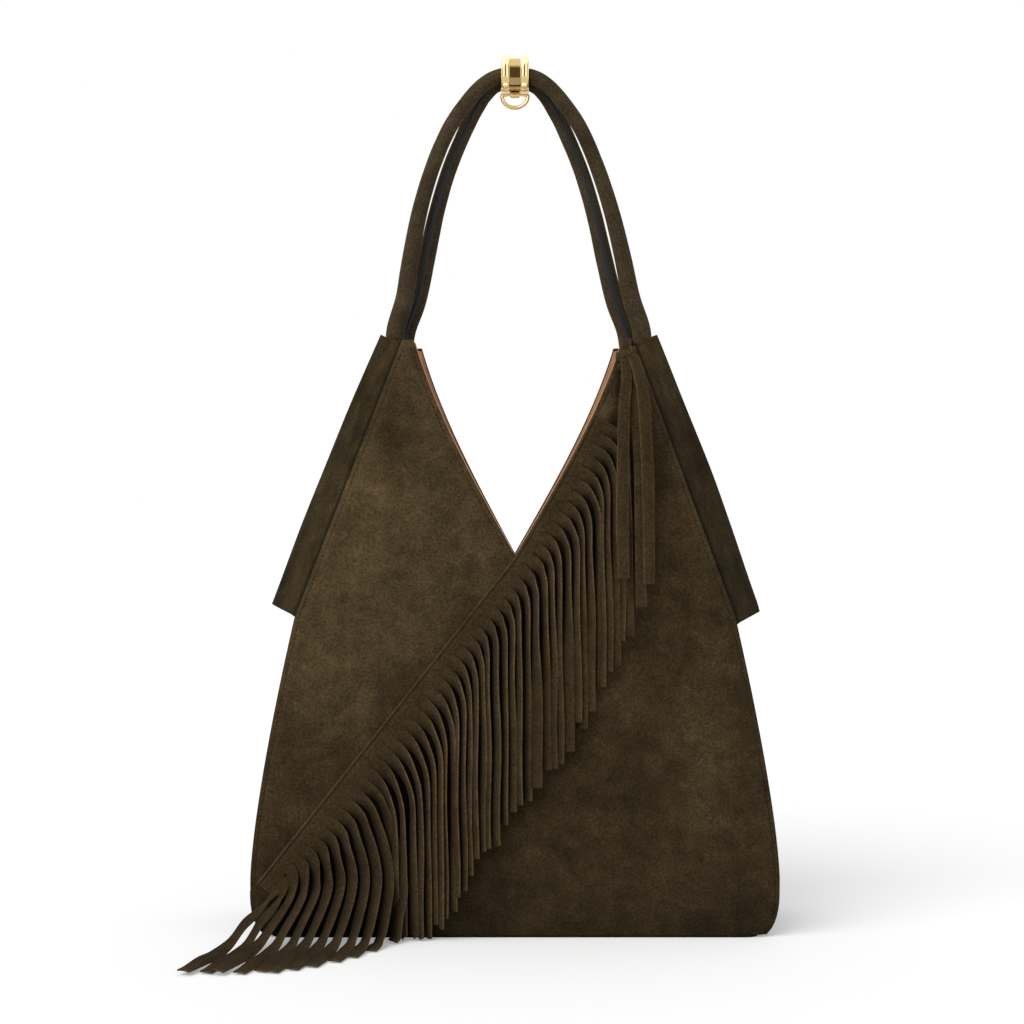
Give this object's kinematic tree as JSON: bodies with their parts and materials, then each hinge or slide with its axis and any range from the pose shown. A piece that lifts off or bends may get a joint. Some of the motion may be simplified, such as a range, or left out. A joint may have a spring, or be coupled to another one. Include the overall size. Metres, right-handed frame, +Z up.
{
  "type": "fringed suede bag",
  "caption": "Slouchy suede tote with a V neck, rolled arched handles, folded side wings and a diagonal fringe that falls across the front to the floor.",
  "frame": {"origin": "middle of the base, on the floor", "axes": "+Z up, +X to the right as seen from the front, front towards -Y"},
  "size_m": [0.4083, 0.2305, 0.6437],
  "materials": {
    "suede": "napped olive-brown suede",
    "suede_side": "napped suede, turned away from the light",
    "tan_leather": "smooth tan leather lining",
    "gold": "polished pale gold"
  },
  "bodies": {
    "bag": {"base_panel": "suede_side", "front_left_panel": "suede", "front_right_panel": "suede", "back_panel": "suede", "side_left": "suede_side", "side_right": "suede_side", "lining_front": "tan_leather", "lining_back": "tan_leather", "fringe": "suede", "handle_front": "suede", "handle_back": "suede", "tie": "suede", "keeper": "gold"},
    "ring": {"keeper_ring": "gold"}
  },
  "joints": [
    {"name": "ring_swing", "type": "hinge", "parent": "bag", "child": "ring", "pos_m": [0, 0, 0.6161], "axis": [1, 0, 0], "range_deg": [-85, 85]}
  ]
}
